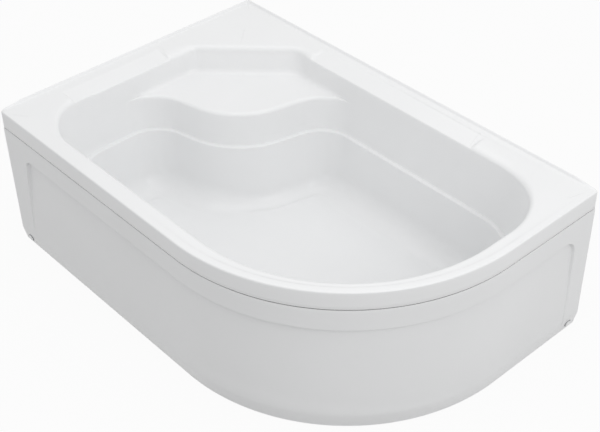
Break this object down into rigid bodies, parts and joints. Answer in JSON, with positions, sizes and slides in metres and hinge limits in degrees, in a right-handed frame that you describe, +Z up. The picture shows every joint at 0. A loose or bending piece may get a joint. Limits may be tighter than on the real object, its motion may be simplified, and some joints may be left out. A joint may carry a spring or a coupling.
{
  "type": "shower tray",
  "caption": "Shower tray with one rounded front corner, a corner seat, a front panel and levelling legs.",
  "frame": {"origin": "on the ground under the middle of the outline", "axes": "+X along the long wall side, +Y towards the long wall, +Z up"},
  "size_m": [1.2, 0.8, 0.415],
  "materials": {
    "white_acrylic": "gloss",
    "white_panel": "gloss",
    "white_cover": "satin",
    "chipboard": "raw",
    "block_wood": "raw",
    "frame_paint": "powder coat",
    "zinc_steel": "zinc plated",
    "black_plastic": "moulded"
  },
  "bodies": {
    "tray": {"tray_shell": "white_acrylic", "base_board": "chipboard", "left_cross_rail": "frame_paint", "right_cross_rail": "frame_paint", "front_long_rail": "frame_paint", "back_long_rail": "frame_paint", "rail_plugs": "black_plastic", "board_screws": "zinc_steel", "weld_nuts": "zinc_steel", "lock_nuts": "zinc_steel", "front_panel": "white_panel", "panel_screws": "zinc_steel", "cover_cups": "white_cover", "left_screw_cover": "white_cover", "right_screw_cover": "white_cover", "left_panel_bracket": "zinc_steel", "right_panel_bracket": "zinc_steel", "rim_blocks": "block_wood", "panel_clips": "zinc_steel", "clip_screws": "zinc_steel"},
    "foot_front_left": {"foot_front_left": "black_plastic"},
    "stud_front_left": {"stud_front_left": "zinc_steel"},
    "foot_back_left": {"foot_back_left": "black_plastic"},
    "stud_back_left": {"stud_back_left": "zinc_steel"},
    "foot_front_right": {"foot_front_right": "black_plastic"},
    "stud_front_right": {"stud_front_right": "zinc_steel"},
    "foot_back_right": {"foot_back_right": "black_plastic"},
    "stud_back_right": {"stud_back_right": "zinc_steel"},
    "foot_middle": {"foot_middle": "black_plastic"},
    "stud_middle": {"stud_middle": "zinc_steel"}
  },
  "joints": [
    {"name": "lift_front_left", "type": "slide", "parent": "tray", "child": "foot_front_left", "axis": [0, 0, -1], "range_m": [-0.0019, 0.0199]},
    {"name": "turn_front_left", "type": "hinge", "parent": "foot_front_left", "child": "stud_front_left", "pos_m": [-0.38, -0.34, 0.02], "axis": [0, 0, -1], "range_deg": [-400, 4100]},
    {"name": "lift_back_left", "type": "slide", "parent": "tray", "child": "foot_back_left", "axis": [0, 0, -1], "range_m": [-0.0019, 0.0199]},
    {"name": "turn_back_left", "type": "hinge", "parent": "foot_back_left", "child": "stud_back_left", "pos_m": [-0.38, 0.323, 0.02], "axis": [0, 0, -1], "range_deg": [-400, 4100]},
    {"name": "lift_front_right", "type": "slide", "parent": "tray", "child": "foot_front_right", "axis": [0, 0, -1], "range_m": [-0.0019, 0.0199]},
    {"name": "turn_front_right", "type": "hinge", "parent": "foot_front_right", "child": "stud_front_right", "pos_m": [0.335, -0.288, 0.02], "axis": [0, 0, -1], "range_deg": [-400, 4100]},
    {"name": "lift_back_right", "type": "slide", "parent": "tray", "child": "foot_back_right", "axis": [0, 0, -1], "range_m": [-0.0019, 0.0199]},
    {"name": "turn_back_right", "type": "hinge", "parent": "foot_back_right", "child": "stud_back_right", "pos_m": [0.335, 0.323, 0.02], "axis": [0, 0, -1], "range_deg": [-400, 4100]},
    {"name": "lift_middle", "type": "slide", "parent": "tray", "child": "foot_middle", "axis": [0, 0, -1], "range_m": [-0.0019, 0.0199]},
    {"name": "turn_middle", "type": "hinge", "parent": "foot_middle", "child": "stud_middle", "pos_m": [-0.02, 0.11, 0.02], "axis": [0, 0, -1], "range_deg": [-400, 4100]}
  ],
  "couplings": [
    {"joint": "turn_front_left", "follows": "lift_front_left", "rad_per_m": 3590.4},
    {"joint": "turn_back_left", "follows": "lift_back_left", "rad_per_m": 3590.4},
    {"joint": "turn_front_right", "follows": "lift_front_right", "rad_per_m": 3590.4},
    {"joint": "turn_back_right", "follows": "lift_back_right", "rad_per_m": 3590.4},
    {"joint": "turn_middle", "follows": "lift_middle", "rad_per_m": 3590.4}
  ]
}
